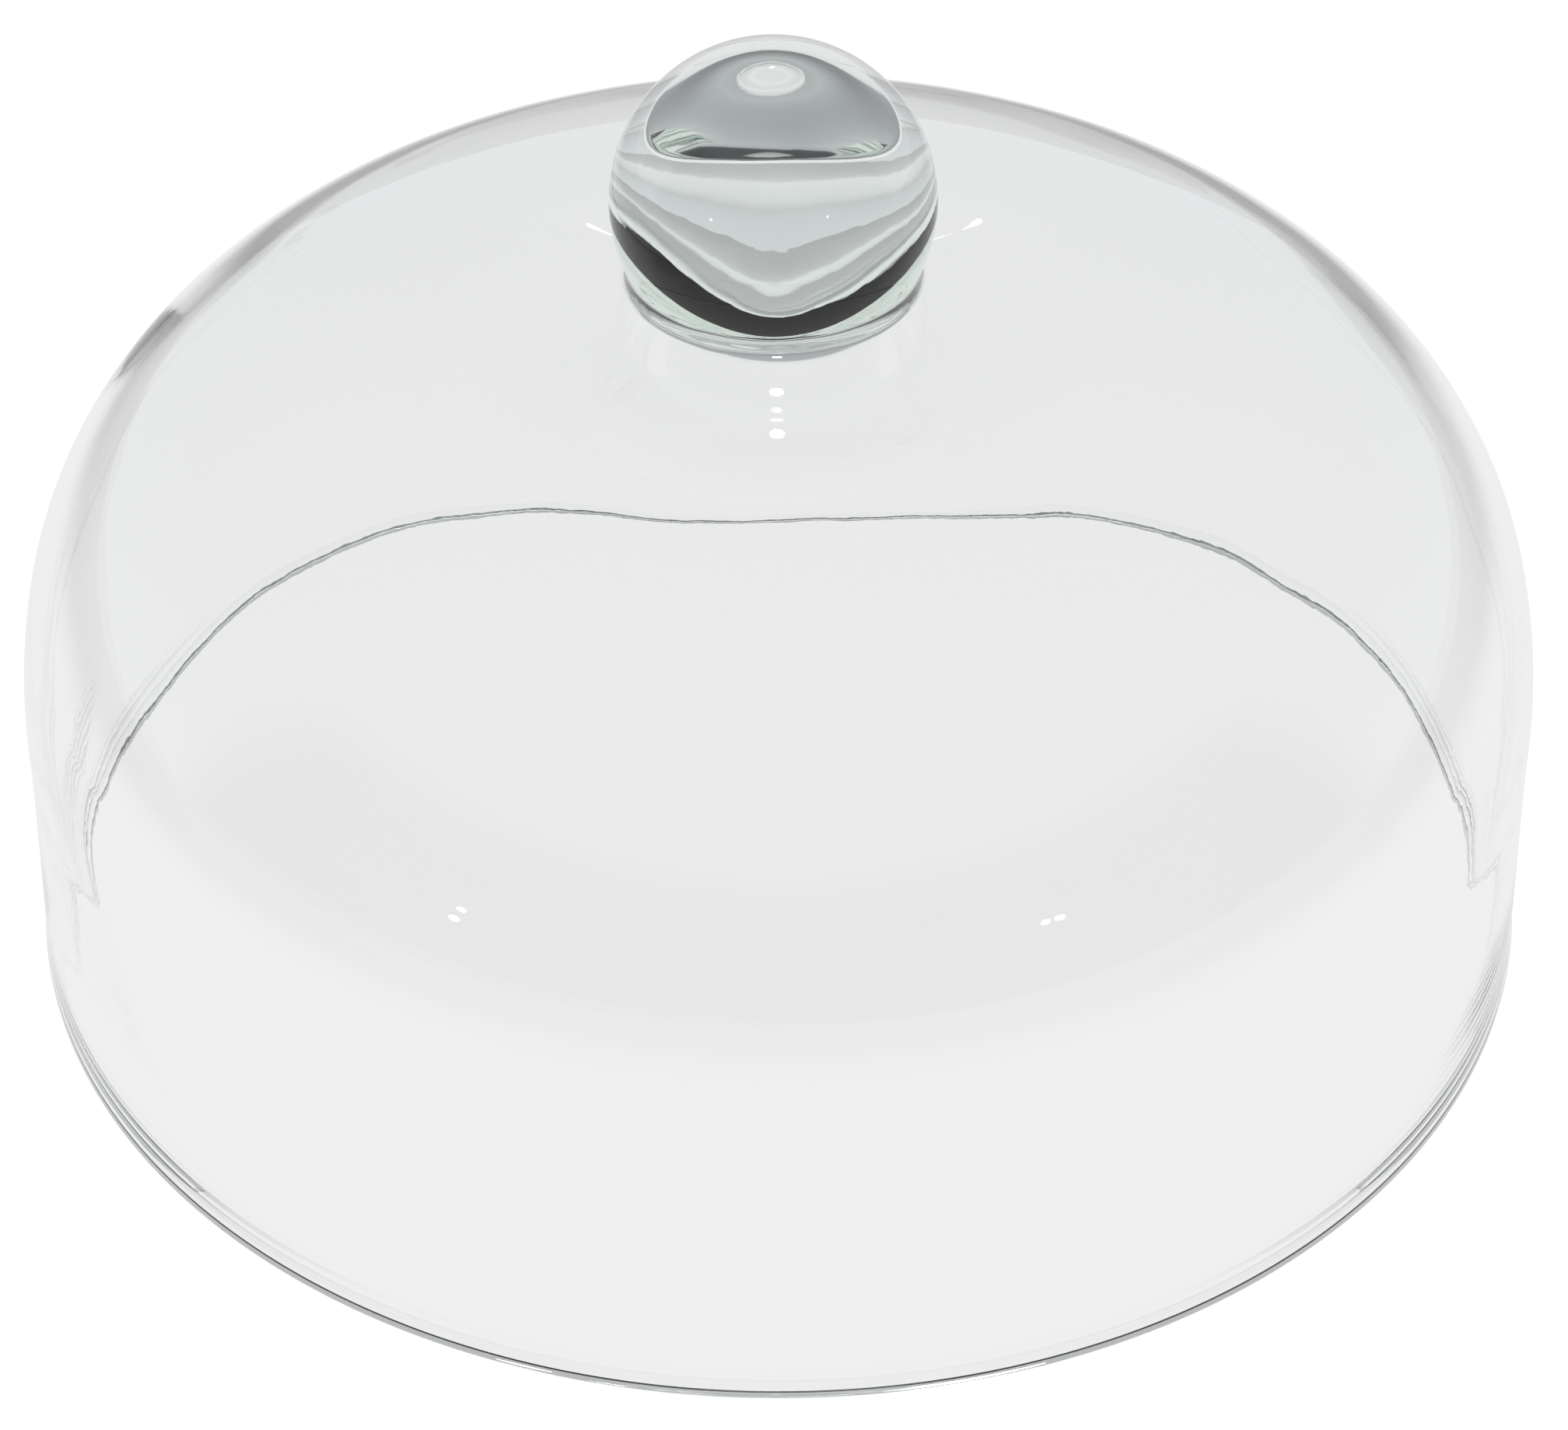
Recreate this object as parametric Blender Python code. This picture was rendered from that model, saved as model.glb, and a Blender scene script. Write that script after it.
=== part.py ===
"""Bell jar dome: a clear glass bell that stands on its rim, with a solid glass ball knob bonded to its crown.

Units are metres and +Z is up. The origin is the centre of the rim, on the surface that the bell stands on.
"""

import math

import bmesh
import bpy

# Bell, outside, from the foot of the wall upwards
FOOT_RADIUS = 0.1440            # wall just above the rim
WALL_RADIUS = 0.1430            # top of the wall, which draws in slightly
WALL_HEIGHT = 0.0514            # height at which the wall starts to curve in
HAUNCH_RADIUS = 0.0970          # first, gentle arc
HAUNCH_ANGLE = math.radians(75.5)       # slope where it meets the shoulder, measured from straight up
SHOULDER_RADIUS = 0.0635        # tighter arc
CROWN_ANGLE = math.radians(25.5)        # slope where the shoulder meets the crown

# Bell, glass thickness
WALL_THICKNESS = 0.0036         # wall and shoulder
CROWN_EXTRA = 0.0055            # extra glass at the middle of the crown
CROWN_EXTRA_REACH = 0.0950      # distance from the axis at which that extra has run out

# Fire-polished rim
RIM_SWELL = 0.0004              # how far the rim stands out from the wall, inside and outside
RIM_ROUND_HEIGHT = 0.0010       # height of the rounded corners
RIM_LAND = 0.0028               # width of the flat ring that the bell stands on
RIM_HEIGHT = 0.0050             # height at which the swell has run out into the wall

# Knob and its bond
KNOB_RADIUS = 0.0293
KNOB_CUT = 0.01445              # distance from the ball's centre down to its flat base
WELD_RADIUS = 0.0018            # concave round where the ball flares out to its foot
KNOB_EDGE = 0.0003              # height of the upright edge around the foot
SEAT_MARGIN = 0.0002            # how far the flat seat on the crown reaches past the foot
BOND_THICKNESS = 0.0003         # cured film of clear adhesive
BOND_INSET = 0.0006             # how far the film stays back from the edge of the foot
FIT_GAP = 0.0003                # clearance between neighbouring solids

# Facets
BELL_STEPS = 72
KNOB_STEPS = 44
CROWN_POINTS = 7
SHOULDER_POINTS = 8
HAUNCH_POINTS = 3
RIM_CORNER_POINTS = 3
KNOB_POINTS = 15
WELD_POINTS = 6

WELD_DROP = KNOB_CUT - KNOB_EDGE - WELD_RADIUS  # centre of the concave round, below the ball's centre
FOOT_OF_KNOB = math.sqrt((KNOB_RADIUS + WELD_RADIUS) ** 2 - WELD_DROP ** 2)
SEAT_RADIUS = FOOT_OF_KNOB + SEAT_MARGIN
BOND_RADIUS = FOOT_OF_KNOB - BOND_INSET
HAUNCH_CENTRE = (WALL_RADIUS - HAUNCH_RADIUS, WALL_HEIGHT)
SHOULDER_SHIFT = HAUNCH_RADIUS - SHOULDER_RADIUS
SHOULDER_CENTRE = (
    HAUNCH_CENTRE[0] + SHOULDER_SHIFT * math.sin(HAUNCH_ANGLE),
    HAUNCH_CENTRE[1] + SHOULDER_SHIFT * math.cos(HAUNCH_ANGLE),
)
CROWN_RADIUS = SHOULDER_RADIUS + SHOULDER_CENTRE[0] / math.sin(CROWN_ANGLE)
CROWN_CENTRE = (0.0, SHOULDER_CENTRE[1] - (CROWN_RADIUS - SHOULDER_RADIUS) * math.cos(CROWN_ANGLE))
SEAT_ANGLE = math.asin(SEAT_RADIUS / CROWN_RADIUS)
SEAT_Z = CROWN_CENTRE[1] + CROWN_RADIUS * math.cos(SEAT_ANGLE)
BOND_Z = SEAT_Z + FIT_GAP
KNOB_BASE_Z = BOND_Z + BOND_THICKNESS + FIT_GAP


def clear_scene():
    """Remove the objects that a new file starts with."""
    for old in list(bpy.data.objects):
        bpy.data.objects.remove(old, do_unlink=True)


def clear_material(name, colour, roughness, ior):
    """A transparent material with a faint tint."""
    material = bpy.data.materials.new(name)
    material.use_nodes = True
    shader = material.node_tree.nodes["Principled BSDF"]
    shader.inputs["Base Color"].default_value = (*colour, 1.0)
    shader.inputs["Roughness"].default_value = roughness
    shader.inputs["Metallic"].default_value = 0.0
    shader.inputs["IOR"].default_value = ior
    shader.inputs["Transmission Weight"].default_value = 1.0
    return material


def turned(name, profile, steps, material):
    """Turn a profile of (radius, height) points, from axis to axis, into one closed body."""
    shape = bmesh.new()
    rings = []
    for radius, height in profile:
        if radius == 0.0:
            rings.append([shape.verts.new((0.0, 0.0, height))])
            continue
        ring = []
        for step in range(steps):
            angle = 2.0 * math.pi * step / steps
            ring.append(shape.verts.new((radius * math.cos(angle), radius * math.sin(angle), height)))
        rings.append(ring)
    for upper, lower in zip(rings, rings[1:]):
        for step in range(steps):
            following = (step + 1) % steps
            corners = [upper[step % len(upper)], lower[step % len(lower)]]
            corners += [lower[following % len(lower)], upper[following % len(upper)]]
            shape.faces.new(dict.fromkeys(corners))
    bmesh.ops.recalc_face_normals(shape, faces=shape.faces[:])
    mesh = bpy.data.meshes.new(name)
    shape.to_mesh(mesh)
    shape.free()
    mesh.shade_smooth()
    mesh.set_sharp_from_angle(angle=math.radians(40.0))
    mesh.materials.append(material)
    part = bpy.data.objects.new(name, mesh)
    bpy.context.collection.objects.link(part)
    return part


def arc(centre, radius, start, end, count):
    """Points on an arc, with its angles measured from straight up towards the outside."""
    points = []
    for index in range(count):
        angle = start + (end - start) * index / (count - 1)
        points.append((centre[0] + radius * math.sin(angle), centre[1] + radius * math.cos(angle)))
    return points


def glass_thickness(radius):
    """Thickness of the bell at a distance from its axis: heaviest at the crown, even from the shoulder down."""
    if radius >= CROWN_EXTRA_REACH:
        return WALL_THICKNESS
    fade = 0.5 + 0.5 * math.cos(math.pi * radius / CROWN_EXTRA_REACH)
    return WALL_THICKNESS + CROWN_EXTRA * fade


def bell_arcs():
    """The three arcs of the outside, from the crown out to the top of the wall."""
    return [
        (CROWN_CENTRE, CROWN_RADIUS, SEAT_ANGLE, CROWN_ANGLE, CROWN_POINTS),
        (SHOULDER_CENTRE, SHOULDER_RADIUS, CROWN_ANGLE, HAUNCH_ANGLE, SHOULDER_POINTS),
        (HAUNCH_CENTRE, HAUNCH_RADIUS, HAUNCH_ANGLE, math.pi / 2, HAUNCH_POINTS),
    ]


def bell_outside():
    """Outer profile from the flat seat under the knob down to where the rim starts to swell."""
    points = [(0.0, SEAT_Z), (SEAT_RADIUS, SEAT_Z)]
    for centre, radius, start, end, count in bell_arcs():
        points += arc(centre, radius, start, end, count)[1:]
    points.append((FOOT_RADIUS, RIM_HEIGHT))
    return points


def bell_inside():
    """Inner profile from the rim up to the axis, offset from the outside by the glass thickness."""
    points = [(FOOT_RADIUS - WALL_THICKNESS, RIM_HEIGHT)]
    for centre, radius, start, end, count in reversed(bell_arcs()):
        for index in range(count - 1):
            angle = end + (start - end) * index / (count - 1)
            inner = radius - glass_thickness(centre[0] + radius * math.sin(angle))
            points.append((centre[0] + inner * math.sin(angle), centre[1] + inner * math.cos(angle)))
    middle = CROWN_CENTRE[1] + CROWN_RADIUS - glass_thickness(0.0)
    half_way = CROWN_RADIUS - glass_thickness(SEAT_RADIUS)
    points.append((half_way * math.sin(SEAT_ANGLE), CROWN_CENTRE[1] + half_way * math.cos(SEAT_ANGLE)))
    points.append((0.0, middle))
    return points


def bell_rim():
    """Rounded rim with a flat ring at its foot, from the outside of the wall to the inside."""
    outer = FOOT_RADIUS + RIM_SWELL
    inner = FOOT_RADIUS - WALL_THICKNESS - RIM_SWELL
    corner = (outer - inner - RIM_LAND) / 2.0
    points = []
    for index in range(RIM_CORNER_POINTS + 1):
        angle = 0.5 * math.pi * index / RIM_CORNER_POINTS
        rise = RIM_ROUND_HEIGHT * (1.0 - math.sin(angle))
        points.append((outer - corner * (1.0 - math.cos(angle)), rise))
    mirrored = [(outer + inner - radius, height) for radius, height in reversed(points)]
    return points + mirrored


def knob_profile():
    """Ball that flares out through a concave round to a flat foot, from its top to the middle of the foot."""
    centre_z = KNOB_BASE_Z + KNOB_CUT
    last = math.acos(-WELD_DROP / (KNOB_RADIUS + WELD_RADIUS))
    ball = arc((0.0, centre_z), KNOB_RADIUS, 0.0, last, KNOB_POINTS)
    weld = arc((FOOT_OF_KNOB, centre_z - WELD_DROP), WELD_RADIUS, last - math.pi, -math.pi, WELD_POINTS)
    base = [(FOOT_OF_KNOB, KNOB_BASE_Z), (0.0, KNOB_BASE_Z)]
    return [(0.0, centre_z + KNOB_RADIUS)] + ball[1:] + weld[1:] + base


def bond_profile():
    """Thin film with a slightly bulging edge."""
    top = BOND_Z + BOND_THICKNESS
    middle = BOND_Z + BOND_THICKNESS / 2.0
    edge = (BOND_RADIUS + BOND_THICKNESS / 2.0, middle)
    return [(0.0, top), (BOND_RADIUS, top), edge, (BOND_RADIUS, BOND_Z), (0.0, BOND_Z)]


def main():
    clear_scene()
    glass = clear_material("clear_glass", (0.96, 0.98, 0.97), 0.0, 1.52)
    knob_glass = clear_material("knob_glass", (0.90, 0.95, 0.92), 0.0, 1.52)
    adhesive = clear_material("clear_adhesive", (0.97, 0.98, 0.97), 0.02, 1.50)
    turned("dome_shell", bell_outside() + bell_rim() + bell_inside(), BELL_STEPS, glass)
    turned("knob", knob_profile(), KNOB_STEPS, knob_glass)
    turned("bond_film", bond_profile(), KNOB_STEPS, adhesive)


main()
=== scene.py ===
"""Looks of the bell jar dome: a clear glass bell with a solid glass ball knob, standing on a pale studio floor."""

import math

import bpy
import numpy as np
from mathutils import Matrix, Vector


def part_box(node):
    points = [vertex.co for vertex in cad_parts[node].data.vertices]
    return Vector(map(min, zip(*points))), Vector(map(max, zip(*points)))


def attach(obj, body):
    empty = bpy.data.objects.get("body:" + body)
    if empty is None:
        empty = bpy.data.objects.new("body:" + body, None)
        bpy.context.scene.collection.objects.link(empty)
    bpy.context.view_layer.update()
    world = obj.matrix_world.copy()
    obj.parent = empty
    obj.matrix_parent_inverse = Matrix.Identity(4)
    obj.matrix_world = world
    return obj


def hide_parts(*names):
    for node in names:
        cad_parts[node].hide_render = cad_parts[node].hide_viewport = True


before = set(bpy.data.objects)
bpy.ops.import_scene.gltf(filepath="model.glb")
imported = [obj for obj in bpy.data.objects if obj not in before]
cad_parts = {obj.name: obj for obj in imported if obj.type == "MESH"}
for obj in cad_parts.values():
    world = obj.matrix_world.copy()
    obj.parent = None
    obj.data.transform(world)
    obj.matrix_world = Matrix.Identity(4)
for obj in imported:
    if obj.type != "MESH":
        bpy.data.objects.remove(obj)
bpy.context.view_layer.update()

shell_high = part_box("dome_shell")[1]
knob_low, knob_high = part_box("knob")
film_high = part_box("bond_film")[1]

# Bell, outside: the arcs of the CAD model, in metres
RIM_RADIUS = shell_high.x
RIM_SWELL = 0.0004
FOOT_RADIUS = RIM_RADIUS - RIM_SWELL
WALL_RADIUS = FOOT_RADIUS - 0.0010
WALL_HEIGHT = 0.0514
HAUNCH_RADIUS = 0.0970
HAUNCH_ANGLE = math.radians(75.5)
SHOULDER_RADIUS = 0.0635
CROWN_ANGLE = math.radians(25.5)

HAUNCH_CENTRE = np.array([WALL_RADIUS - HAUNCH_RADIUS, WALL_HEIGHT])
SHOULDER_SHIFT = HAUNCH_RADIUS - SHOULDER_RADIUS
SHOULDER_CENTRE = HAUNCH_CENTRE + SHOULDER_SHIFT * np.array([math.sin(HAUNCH_ANGLE), math.cos(HAUNCH_ANGLE)])
CROWN_RADIUS = SHOULDER_RADIUS + SHOULDER_CENTRE[0] / math.sin(CROWN_ANGLE)
CROWN_CENTRE_Z = SHOULDER_CENTRE[1] - (CROWN_RADIUS - SHOULDER_RADIUS) * math.cos(CROWN_ANGLE)

# Bell, glass thickness
WALL_THICKNESS = 0.0036
THICKNESS_PLACES = (0.0, 0.015, 0.030, 0.060, 0.095, 0.200)  # distances from the axis
THICKNESS_FRONT = (0.0088, 0.0097, 0.0090, 0.0053, 0.0036, 0.0036)
THICKNESS_BACK = (0.0088, 0.0097, 0.0074, 0.0055, 0.0036, 0.0036)
BACK_STARTS, BACK_SPAN = 0.5, 0.4  # by the sine of the angle around the axis, which is 1 straight behind
BOSS_DEPTH = 0.0029
BOSS_RADIUS = 0.0230
BOSS_SHAPE = 1.28
RIM_HEIGHT = 0.0050
RIM_CORNER = 0.0008
RIM_ROUND = 0.0009

# Bell, unevenness of the glass: seed, wavelength and height of each set of waves
OUTSIDE_WAVES = ((11, 0.110, 0.00003), (12, 0.034, 0.000010))
INSIDE_WAVES = ((21, 0.100, 0.00014), (22, 0.036, 0.000024), (23, 0.016, 0.000003))
WAVE_COUNT = 24
SHORTEST_WAVE, LONGEST_WAVE = 0.7, 1.5  # as shares of the wavelength
SMOOTH_NEAR_RIM = 0.020
SMOOTH_RADIUS, SMOOTH_SPAN = 0.032, 0.015  # around the foot of the knob

# Knob and weld
KNOB_RADIUS = (knob_high.x - knob_low.x) / 2.0
KNOB_CENTRE_Z = knob_high.z - KNOB_RADIUS
KNOB_SHIFT = -0.0009
NECK_TOP_BACK = 0.0101
NECK_TOP_FRONT = 0.0115
NECK_SLOPE = math.radians(3.5)
NECK_SOFTNESS = 0.0005
NECK_STARTS, NECK_SPAN = 0.05, 0.65  # by the sine of the angle around the axis
TOP_WAVES = (31, 0.012, 0.00010)
NECK_WAVES = (32, 0.003, 0.00001)
WAVE_RING = 0.03
LEAST_DROP = 0.0001
FOOT_ROUNDS = 4
WELD_HEIGHT = 0.0006
WELD_WIDTH = 0.0006
BASE_DEPTH = 0.0008

# Joint
JOINT_LAYER = "inside_knob"
JOINT_DEPTH = 0.001  # how far below the crown's outside a point of the shell still counts as its outside
JOINT_CLEARANCE = 0.000004
FILM_HALF = 0.00005

# Rings and steps of the meshes
CROWN_ROWS, SHOULDER_ROWS, HAUNCH_ROWS, WALL_ROWS, RIM_ROWS = 110, 34, 12, 20, 7
BALL_ROWS, NECK_ROWS, WELD_ROWS, BASE_ROWS, FILM_ROWS = 110, 22, 9, 12, 12
BELL_STEPS, KNOB_STEPS, FILM_STEPS = 400, 240, 96

# Glass: refractive index, and detail of the soft and the fine ripples
GLASS_INDEX = 1.52
SOFT_DETAIL, SOFT_ROUGHNESS = 2.0, 0.45
FINE_DETAIL = 1.0

# Floor: brightness as seen directly, the painted shade it shows through or in the glass and far away, and where
# that painted fall begins
FLOOR_SIZE = 4.0
FLOOR_DROP = 0.0002
FLOOR_SEEN = 1.03
FLOOR_PAINTED_GLASS_SHADE = 0.87
FLOOR_FAR_PAINTED_SHADE = 0.40
FLOOR_REACH = 0.30

# Lamps: distance from a point inside the bell, and the height of that point
LAMP_DISTANCE = 1.5
LAMP_TARGET = 0.14
LAMP_CORNERS = 24

# Sky: half of the band in which the front fades into the back, and the share of red and of blue
SKY_FADE = 0.15
SKY_RED, SKY_BLUE = 0.98, 1.04

# Brightness of the studio by height above the horizon, in degrees: lowest, highest, then those between
SKY_BEHIND = ((0, 0.70), (90, 0.40), (25, 0.50), (55, 0.42))
SKY_IN_FRONT = ((0, 0.11), (90, 0.40), (28, 0.06), (38, 0.08), (45, 0.32), (55, 0.50))


def turned(name, radii, heights, steps, middle=(0.0, 0.0)):
    """Closed body turned about an upright axis. The rings run from axis to axis and may vary around the turn."""
    angles = np.arange(steps) * (2.0 * math.pi / steps)
    count = len(radii)
    wide = np.broadcast_to(np.asarray(radii, float).reshape(count, -1), (count, steps))
    tall = np.broadcast_to(np.asarray(heights, float).reshape(count, -1), (count, steps))
    points = np.stack([middle[0] + wide * np.cos(angles), middle[1] + wide * np.sin(angles), tall], axis=-1)
    inner = points[1:-1].reshape(-1, 3)
    first, last = len(inner), len(inner) + 1
    poles = [(middle[0], middle[1], tall[0].mean()), (middle[0], middle[1], tall[-1].mean())]
    faces = []
    for row in range(count - 3):
        here, there = row * steps, (row + 1) * steps
        for step in range(steps):
            after = (step + 1) % steps
            faces.append((here + step, there + step, there + after, here + after))
    bottom = (count - 3) * steps
    for step in range(steps):
        after = (step + 1) % steps
        faces.append((first, step, after))
        faces.append((last, bottom + after, bottom + step))
    mesh = bpy.data.meshes.new(name)
    mesh.from_pydata(np.vstack([inner, poles]).tolist(), [], faces)
    mesh.validate()
    mesh.shade_smooth()
    piece = bpy.data.objects.new(name, mesh)
    bpy.context.scene.collection.objects.link(piece)
    return piece


# --- bell -----------------------------------------------------------------------------------------------------

def crown_height(distance):
    """Height of the crown's outside at a distance from the axis."""
    return CROWN_CENTRE_Z + np.sqrt(CROWN_RADIUS ** 2 - distance ** 2)


def smooth_through(places, values, where):
    """A smooth curve through the given values, level at both ends."""
    places, values = np.asarray(places), np.asarray(values)
    slopes = np.zeros(len(places))
    slopes[1:-1] = (values[2:] - values[:-2]) / (places[2:] - places[:-2])
    slot = np.clip(np.searchsorted(places, where, side="right") - 1, 0, len(places) - 2)
    gap = places[slot + 1] - places[slot]
    share = (where - places[slot]) / gap
    rise = share * share * (3.0 - 2.0 * share)
    leave, arrive = share * (1.0 - share) ** 2, share * share * (share - 1.0)
    middle = values[slot] * (1.0 - rise) + values[slot + 1] * rise
    return middle + gap * (slopes[slot] * leave + slopes[slot + 1] * arrive)


def glass_thickness(radius, back):
    """The crown is heavier than the wall, and a round boss hangs from it under the knob."""
    boss = BOSS_DEPTH * np.clip(1.0 - (radius / BOSS_RADIUS) ** 2, 0.0, 1.0) ** BOSS_SHAPE
    front_glass = smooth_through(THICKNESS_PLACES, THICKNESS_FRONT, radius)
    back_glass = smooth_through(THICKNESS_PLACES, THICKNESS_BACK, radius)
    return front_glass * (1.0 - back) + back_glass * back + boss


def outside_profile():
    """Points and outward directions on the outside of the bell, from the axis to the foot of the wall."""
    spans = [
        (np.array([0.0, CROWN_CENTRE_Z]), CROWN_RADIUS, 0.0, CROWN_ANGLE, CROWN_ROWS),
        (SHOULDER_CENTRE, SHOULDER_RADIUS, CROWN_ANGLE, HAUNCH_ANGLE, SHOULDER_ROWS),
        (HAUNCH_CENTRE, HAUNCH_RADIUS, HAUNCH_ANGLE, math.pi / 2.0, HAUNCH_ROWS),
    ]
    points, normals = [], []
    for centre, radius, start, end, count in spans:
        for angle in np.linspace(start, end, count, endpoint=False):
            direction = np.array([math.sin(angle), math.cos(angle)])
            points.append(centre + radius * direction)
            normals.append(direction)
    lean = (FOOT_RADIUS - WALL_RADIUS) / (WALL_HEIGHT - RIM_HEIGHT)
    for share in np.linspace(0.0, 1.0, WALL_ROWS):
        flare = share * share * (2.0 - share)
        height = WALL_HEIGHT + (RIM_HEIGHT - WALL_HEIGHT) * share
        points.append(np.array([WALL_RADIUS + (FOOT_RADIUS - WALL_RADIUS) * flare, height]))
        direction = np.array([1.0, lean * share])
        normals.append(direction / np.linalg.norm(direction))
    return np.array(points), np.array(normals)


def rim_profile():
    """Fire-polished rim: two small rounded corners with a flat land between them, from outside to inside."""
    outer = RIM_RADIUS
    inner = FOOT_RADIUS - WALL_THICKNESS - RIM_SWELL
    angles = np.linspace(0.0, math.pi / 2.0, RIM_ROWS)
    outside = np.stack([outer - RIM_CORNER * (1.0 - np.cos(angles)), RIM_ROUND * (1.0 - np.sin(angles))], axis=-1)
    inside = np.stack([outer + inner - outside[::-1, 0], outside[::-1, 1]], axis=-1)
    return np.vstack([outside, inside])


def waves(points, seed, wavelength, height):
    """A smooth uneven field at the given points: a sum of waves in random directions."""
    random = np.random.RandomState(seed)
    directions = random.normal(size=(WAVE_COUNT, 3))
    directions /= np.linalg.norm(directions, axis=1)[:, None]
    lengths = wavelength * random.uniform(SHORTEST_WAVE, LONGEST_WAVE, size=WAVE_COUNT)
    phases = random.uniform(0.0, 2.0 * math.pi, size=WAVE_COUNT)
    total = np.zeros(points.shape[:-1])
    for direction, length, phase in zip(directions, lengths, phases):
        total += np.sin(points @ direction * (2.0 * math.pi / length) + phase)
    return total * height * math.sqrt(2.0 / WAVE_COUNT)


def ease(share):
    """0 below 0, 1 above 1, and smooth between."""
    share = np.clip(share, 0.0, 1.0)
    return share * share * (3.0 - 2.0 * share)


def make_shell():
    outside, normals = outside_profile()
    rim = rim_profile()
    angles = np.arange(BELL_STEPS) * (2.0 * math.pi / BELL_STEPS)
    radius, height = outside[:, :1], outside[:, 1:]
    thickness = glass_thickness(radius, ease((np.sin(angles) - BACK_STARTS) / BACK_SPAN))
    inside_r = radius - normals[:, :1] * thickness
    inside_z = height - normals[:, 1:] * thickness
    strength = ease((height - RIM_HEIGHT) / SMOOTH_NEAR_RIM) * ease((radius - SMOOTH_RADIUS) / SMOOTH_SPAN)

    def uneven(r, z, sets):
        here = np.stack([r * np.cos(angles), r * np.sin(angles), z + 0.0 * angles], axis=-1)
        return strength * sum(waves(here, *one) for one in sets)

    lift = uneven(radius, height, OUTSIDE_WAVES)
    sink = uneven(inside_r, inside_z, INSIDE_WAVES)
    rim_r = np.repeat(rim[:, :1], BELL_STEPS, axis=1)
    rim_z = np.repeat(rim[:, 1:], BELL_STEPS, axis=1)
    radii = np.vstack([radius + normals[:, :1] * lift, rim_r, (inside_r - normals[:, :1] * sink)[::-1]])
    heights = np.vstack([height + normals[:, 1:] * lift, rim_z, (inside_z - normals[:, 1:] * sink)[::-1]])
    return turned("dome_shell_glass", np.minimum(radii, RIM_RADIUS), heights, BELL_STEPS)


# --- knob -----------------------------------------------------------------------------------------------------

def make_knob():
    """Ball that runs into the crown: nearly straight in at the front, through a steep neck at the back."""
    angles = np.arange(KNOB_STEPS) * (2.0 * math.pi / KNOB_STEPS)
    around = np.stack([np.cos(angles), np.sin(angles), 0.0 * angles], axis=-1) * WAVE_RING
    back = ease((np.sin(angles) - NECK_STARTS) / NECK_SPAN)
    top = -(NECK_TOP_FRONT + (NECK_TOP_BACK - NECK_TOP_FRONT) * back) + waves(around, *TOP_WAVES)
    last = np.arccos(top / KNOB_RADIUS)
    rows = np.linspace(0.0, 1.0, BALL_ROWS)[:, None] * last
    ball_r, ball_z = KNOB_RADIUS * np.sin(rows), KNOB_CENTRE_Z + KNOB_RADIUS * np.cos(rows)
    top_r, top_z = ball_r[-1], ball_z[-1]
    lean = math.tan(NECK_SLOPE) * back
    inward = 1.0 / np.tan(last)

    def neck_radius(fallen):
        return top_r + lean * fallen + (inward - lean) * NECK_SOFTNESS * (1.0 - np.exp(-fallen / NECK_SOFTNESS))

    foot = top_r
    for _ in range(FOOT_ROUNDS):
        crown_z = crown_height(np.hypot(KNOB_SHIFT + foot * np.cos(angles), foot * np.sin(angles)))
        drop = np.maximum(top_z - crown_z - WELD_HEIGHT, LEAST_DROP)
        foot = neck_radius(drop) + WELD_WIDTH
    share = np.linspace(0.0, 1.0, NECK_ROWS)[1:, None]
    neck_r = neck_radius(share * drop) + waves(around, *NECK_WAVES) * share
    neck_z = top_z - share * drop
    turn = np.linspace(0.0, 0.5 * math.pi, WELD_ROWS)[1:, None]
    foot_r = neck_r[-1] + WELD_WIDTH * (1.0 - np.cos(turn))
    foot_z = neck_z[-1] - WELD_HEIGHT * np.sin(turn)
    base_r = np.linspace(1.0, 0.0, BASE_ROWS)[:, None] * foot_r[-1]
    base_z = crown_height(np.hypot(KNOB_SHIFT + base_r * np.cos(angles), base_r * np.sin(angles))) - BASE_DEPTH
    radii = np.vstack([ball_r, neck_r, foot_r, base_r])
    heights = np.vstack([ball_z, neck_z, foot_z, base_z])
    return turned("knob_glass_ball", radii, heights, KNOB_STEPS, (KNOB_SHIFT, 0.0)), angles, foot_r[-1]


def mark_joint(piece, angles, foot):
    """Store on the shell how far each outer point lies inside the foot of the knob."""
    count = len(piece.data.vertices)
    points = np.empty(count * 3)
    piece.data.vertices.foreach_get("co", points)
    x, y, z = points.reshape(count, 3).T
    around = np.arctan2(y, x - KNOB_SHIFT) % (2.0 * math.pi)
    inside = np.interp(around, angles, foot, period=2.0 * math.pi) - np.hypot(x - KNOB_SHIFT, y)
    on_top = z > crown_height(np.minimum(np.hypot(x, y), CROWN_RADIUS)) - JOINT_DEPTH
    layer = piece.data.attributes.new(JOINT_LAYER, "FLOAT", "POINT")
    layer.data.foreach_set("value", np.where(on_top, inside, -1.0))


def make_film():
    """Clear film in the middle of the joint, curved like the crown."""
    rows = np.linspace(0.0, film_high.x, FILM_ROWS)
    top = crown_height(rows) + FILM_HALF
    bottom = crown_height(rows) - FILM_HALF
    radii = np.concatenate([rows, rows[::-1]])
    heights = np.concatenate([top, bottom[::-1]])
    return turned("bond_film_clear", radii, heights, FILM_STEPS)


# --- materials ------------------------------------------------------------------------------------------------

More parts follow.
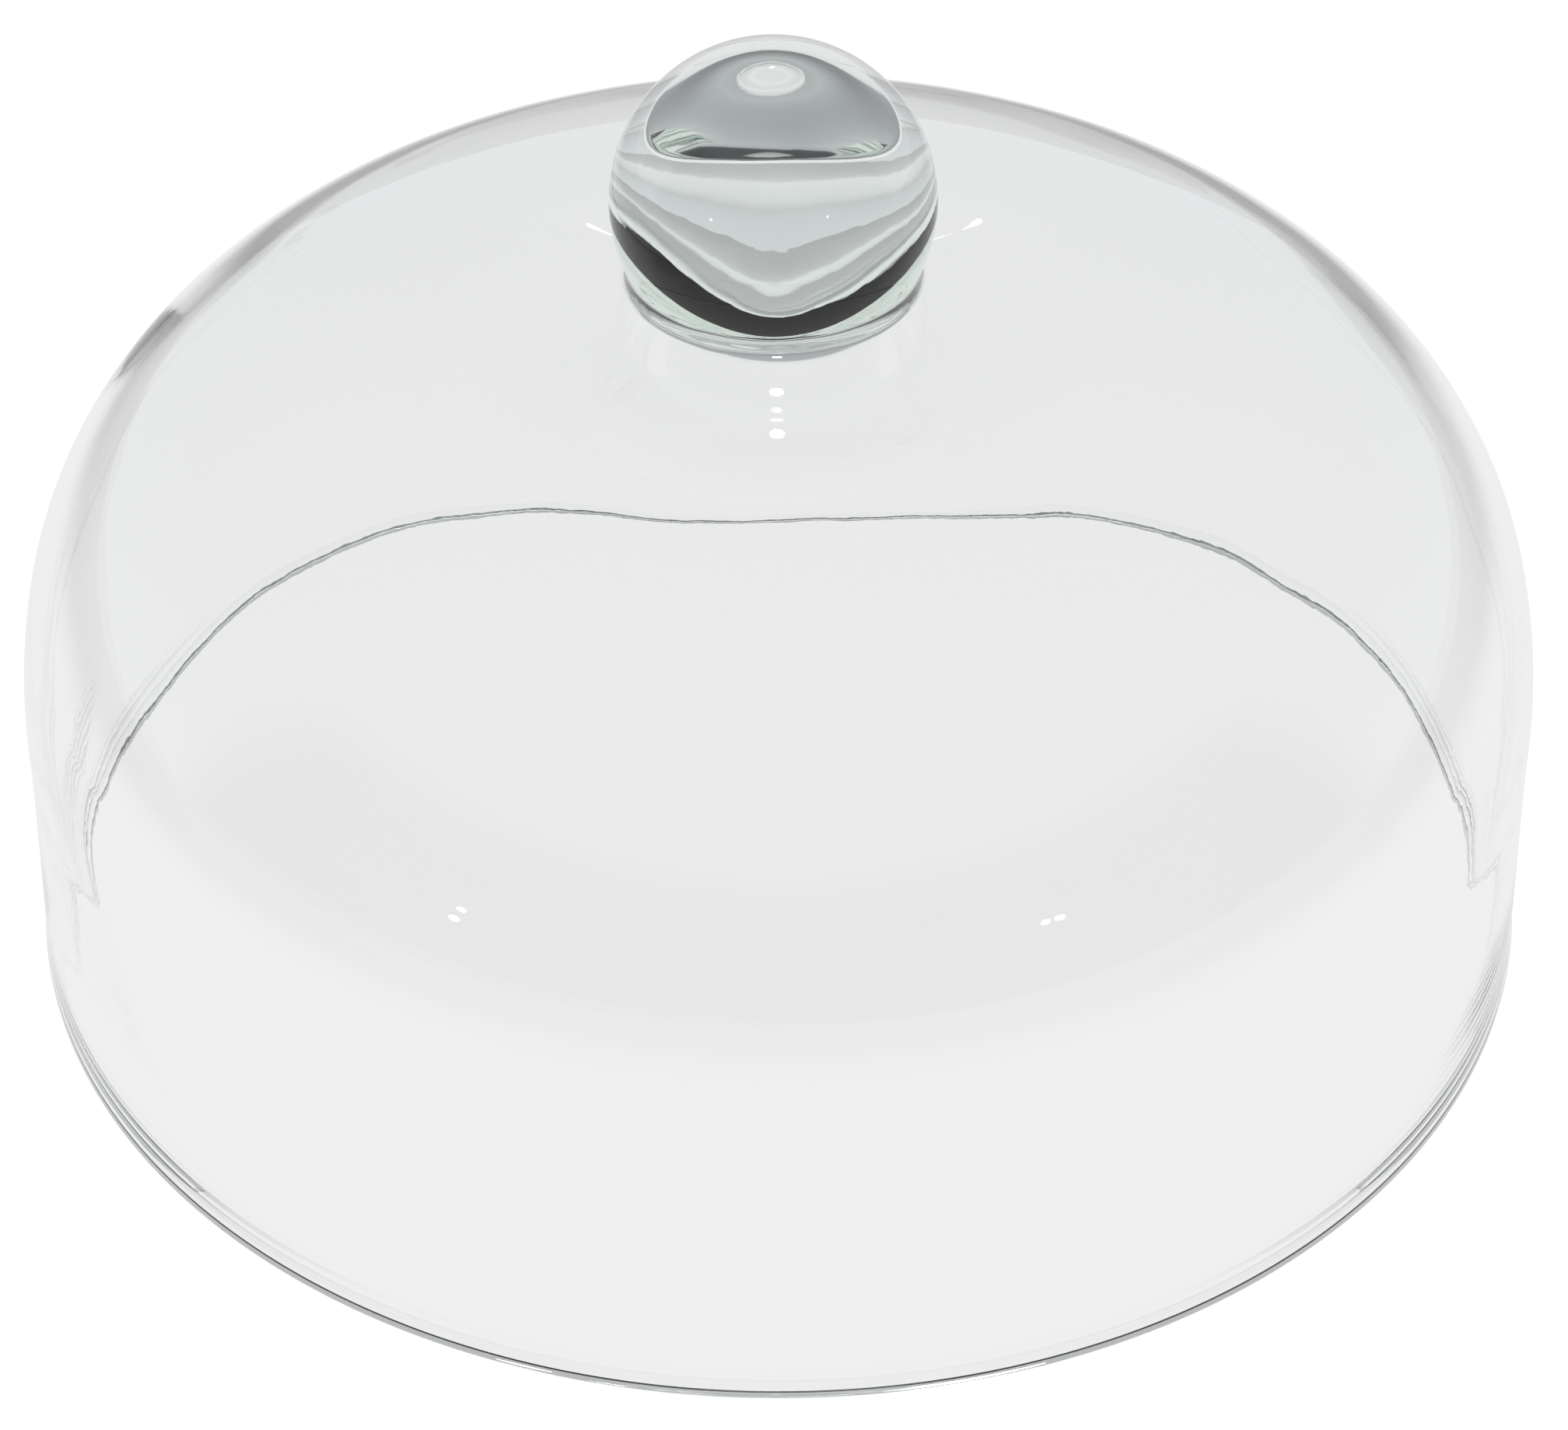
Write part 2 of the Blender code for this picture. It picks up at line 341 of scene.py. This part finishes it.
def glass_material(name, tint, density, ripple, fine, joint=None, glass_index=GLASS_INDEX):
    """Clear glass with a faint volume tint. Ripple and fine are the scale and height of two sets of ripples."""
    material = bpy.data.materials.new(name)
    material.use_nodes = True
    tree = material.node_tree
    shader, output = tree.nodes["Principled BSDF"], tree.nodes["Material Output"]
    shader.inputs["Base Color"].default_value = (1.0, 1.0, 1.0, 1.0)
    shader.inputs["Roughness"].default_value = 0.0
    shader.inputs["IOR"].default_value = glass_index
    shader.inputs["Transmission Weight"].default_value = 1.0
    absorb = tree.nodes.new("ShaderNodeVolumeAbsorption")
    absorb.inputs["Color"].default_value = (*tint, 1.0)
    absorb.inputs["Density"].default_value = density
    tree.links.new(absorb.outputs["Volume"], output.inputs["Volume"])
    place = tree.nodes.new("ShaderNodeTexCoord")
    soft = tree.nodes.new("ShaderNodeTexNoise")
    soft.inputs["Scale"].default_value = ripple[0]
    soft.inputs["Detail"].default_value = SOFT_DETAIL
    soft.inputs["Roughness"].default_value = SOFT_ROUGHNESS
    tree.links.new(place.outputs["Object"], soft.inputs["Vector"])
    sharp = tree.nodes.new("ShaderNodeTexNoise")
    sharp.inputs["Scale"].default_value = fine[0]
    sharp.inputs["Detail"].default_value = FINE_DETAIL
    tree.links.new(place.outputs["Object"], sharp.inputs["Vector"])
    bump_soft = tree.nodes.new("ShaderNodeBump")
    bump_soft.inputs["Distance"].default_value = ripple[1]
    tree.links.new(soft.outputs["Fac"], bump_soft.inputs["Height"])
    bump_fine = tree.nodes.new("ShaderNodeBump")
    bump_fine.inputs["Distance"].default_value = fine[1]
    tree.links.new(sharp.outputs["Fac"], bump_fine.inputs["Height"])
    tree.links.new(bump_soft.outputs["Normal"], bump_fine.inputs["Normal"])
    tree.links.new(bump_fine.outputs["Normal"], shader.inputs["Normal"])
    if joint is not None:
        match_joint(tree, place, shader, joint)
    return material


def match_joint(tree, place, shader, joint):
    """Set the index to 1 where this surface lies inside the other glass, so that the two look like one piece."""
    mask = tree.nodes.new("ShaderNodeMath")
    if joint == "shell":
        layer = tree.nodes.new("ShaderNodeAttribute")
        layer.attribute_name = JOINT_LAYER
        mask.operation = "GREATER_THAN"
        mask.inputs[1].default_value = 0.0
        tree.links.new(layer.outputs["Fac"], mask.inputs[0])
    else:
        away = tree.nodes.new("ShaderNodeVectorMath")
        away.operation = "DISTANCE"
        away.inputs[1].default_value = (0.0, 0.0, CROWN_CENTRE_Z)
        tree.links.new(place.outputs["Object"], away.inputs[0])
        mask.operation = "LESS_THAN"
        mask.inputs[1].default_value = CROWN_RADIUS - JOINT_CLEARANCE
        tree.links.new(away.outputs["Value"], mask.inputs[0])
    index = tree.nodes.new("ShaderNodeMapRange")
    index.inputs["To Min"].default_value = GLASS_INDEX
    index.inputs["To Max"].default_value = 1.0
    tree.links.new(mask.outputs[0], index.inputs["Value"])
    tree.links.new(index.outputs["Result"], shader.inputs["IOR"])


def emitting_material(name, strength):
    """A plain white glow."""
    material = bpy.data.materials.new(name)
    material.use_nodes = True
    tree = material.node_tree
    tree.nodes.clear()
    output = tree.nodes.new("ShaderNodeOutputMaterial")
    glow = tree.nodes.new("ShaderNodeEmission")
    glow.inputs["Strength"].default_value = strength
    tree.links.new(glow.outputs["Emission"], output.inputs["Surface"])
    return material


# --- studio ---------------------------------------------------------------------------------------------------

def lamp(name, azimuth, elevation, size, strength):
    """A small round lamp that faces the bell. Azimuth 0 is behind the bell, 90 to its right."""
    turn, rise = math.radians(azimuth), math.radians(elevation)
    direction = Vector((math.cos(rise) * math.sin(turn), math.cos(rise) * math.cos(turn), math.sin(rise)))
    corners = [2.0 * math.pi * corner / LAMP_CORNERS for corner in range(LAMP_CORNERS)]
    mesh = bpy.data.meshes.new(name)
    mesh.from_pydata(
        [(size * math.cos(corner), size * math.sin(corner), 0.0) for corner in corners],
        [], [tuple(range(LAMP_CORNERS))])
    mesh.materials.append(emitting_material(name + "_light", strength))
    panel = bpy.data.objects.new(name, mesh)
    panel.location = Vector((0.0, 0.0, LAMP_TARGET)) + LAMP_DISTANCE * direction
    panel.rotation_mode = "QUATERNION"
    panel.rotation_quaternion = (-direction).to_track_quat("Z", "Y")
    bpy.context.scene.collection.objects.link(panel)


def make_floor():
    """A floor that glows: pure white as seen directly, with painted shade through or in the glass: a little greyer
    there, and grey far away.
    """
    corners = [(-1, -1), (1, -1), (1, 1), (-1, 1)]
    mesh = bpy.data.meshes.new("studio_floor")
    mesh.from_pydata([(FLOOR_SIZE * x, FLOOR_SIZE * y, 0.0) for x, y in corners], [], [(0, 1, 2, 3)])
    material = emitting_material("floor_white_painted_shade", FLOOR_SEEN)
    mesh.materials.append(material)
    tree = material.node_tree
    place = tree.nodes.new("ShaderNodeTexCoord")
    away = tree.nodes.new("ShaderNodeVectorMath")
    away.operation = "LENGTH"
    tree.links.new(place.outputs["Object"], away.inputs[0])
    # Painted shade: the floor is greyer where it is seen through or in the glass, and fades to grey further away.
    reach = (FLOOR_REACH, 2.0 * FLOOR_REACH)
    painted_shade = smooth_range(tree, away.outputs["Value"], reach, (FLOOR_PAINTED_GLASS_SHADE, FLOOR_FAR_PAINTED_SHADE))
    # Camera rays see the plain white floor; every other ray sees the painted shade.
    path = tree.nodes.new("ShaderNodeLightPath")
    level = tree.nodes.new("ShaderNodeMix")
    level.inputs["B"].default_value = FLOOR_SEEN
    tree.links.new(path.outputs["Is Camera Ray"], level.inputs["Factor"])
    tree.links.new(painted_shade, level.inputs["A"])
    tree.links.new(level.outputs["Result"], tree.nodes["Emission"].inputs["Strength"])
    floor = bpy.data.objects.new("studio_floor", mesh)
    floor.location.z = -FLOOR_DROP
    bpy.context.scene.collection.objects.link(floor)


def smooth_range(tree, value, source, target):
    """Ease a value from one range into another."""
    eased = tree.nodes.new("ShaderNodeMapRange")
    eased.interpolation_type = "SMOOTHSTEP"
    eased.inputs["From Min"].default_value, eased.inputs["From Max"].default_value = source
    eased.inputs["To Min"].default_value, eased.inputs["To Max"].default_value = target
    tree.links.new(value, eased.inputs["Value"])
    return eased.outputs["Result"]


def make_world():
    """Studio around the bell: pale low down behind it, dark behind the camera, lighter overhead."""
    world = bpy.data.worlds.new("studio")
    world.use_nodes = True
    tree = world.node_tree
    place = tree.nodes.new("ShaderNodeTexCoord")
    split = tree.nodes.new("ShaderNodeSeparateXYZ")
    tree.links.new(place.outputs["Generated"], split.inputs["Vector"])
    mixed = tree.nodes.new("ShaderNodeMix")
    mixed.data_type = "RGBA"
    behind = smooth_range(tree, split.outputs["Y"], (-SKY_FADE, SKY_FADE), (0.0, 1.0))
    tree.links.new(behind, mixed.inputs["Factor"])
    for socket, levels in (("A", SKY_IN_FRONT), ("B", SKY_BEHIND)):
        ramp = tree.nodes.new("ShaderNodeValToRGB")
        tree.links.new(split.outputs["Z"], ramp.inputs["Fac"])
        stops = ramp.color_ramp.elements
        for (rise, level), stop in zip(levels[:2], stops):
            stop.position = math.sin(math.radians(rise))
            stop.color = sky_colour(level)
        for rise, level in levels[2:]:
            stops.new(math.sin(math.radians(rise))).color = sky_colour(level)
        colour = next(end for end in mixed.inputs if end.name == socket and end.type == "RGBA")
        tree.links.new(ramp.outputs["Color"], colour)
    result = next(end for end in mixed.outputs if end.type == "RGBA")
    tree.links.new(result, tree.nodes["Background"].inputs["Color"])
    bpy.context.scene.world = world


def sky_colour(level):
    """A very slightly blue grey."""
    return (level * SKY_RED, level, level * SKY_BLUE, 1.0)


def make_camera():
    """Looks down on the bell from the front."""
    look = Vector((0.0010, 0.0, 0.0374))
    distance, pitch = 0.9031, math.radians(38.74)
    data = bpy.data.cameras.new("camera")
    data.sensor_width = 36.0
    data.lens = 107.143
    data.clip_start = 0.05
    camera = bpy.data.objects.new("camera", data)
    camera.location = look + distance * Vector((0.0, -math.cos(pitch), math.sin(pitch)))
    camera.rotation_mode = "QUATERNION"
    camera.rotation_quaternion = (look - camera.location).to_track_quat("-Z", "Y")
    bpy.context.scene.collection.objects.link(camera)
    bpy.context.scene.camera = camera


make_camera()
make_floor()
make_world()
lamp("lamp_front_left", 224, 12, 0.020, 25.0)
lamp("lamp_front_right", 141, 16, 0.020, 25.0)
lamp("lamp_back", 359, 44, 0.035, 6.0)

shell = make_shell()
shell.data.materials.append(glass_material(
    "dome_clear_glass", (0.76, 0.86, 0.80), 5.0, (150.0, 0.000006), (700.0, 0.0000006), "shell"))
knob, knob_angles, knob_foot = make_knob()
mark_joint(shell, knob_angles, knob_foot)
knob.data.materials.append(glass_material(
    "knob_clear_glass", (0.76, 0.86, 0.80), 3.0, (90.0, 0.000006), (600.0, 0.0000006), "knob"))
film = make_film()
film.data.materials.append(glass_material(
    "bond_clear", (0.9, 0.95, 0.92), 1.0, (300.0, 0.0000005), (900.0, 0.0000001), glass_index=1.0))

for piece, node, slot in (
    (shell, "dome_shell", "dome_glass"),
    (knob, "knob", "knob_glass"),
    (film, "bond_film", "bond_adhesive"),
):
    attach(piece, "root")
    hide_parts(node)

scene = bpy.context.scene
scene.view_settings.view_transform = "Standard"
scene.cycles.max_bounces = 64
scene.cycles.transmission_bounces = 64
scene.cycles.glossy_bounces = 24
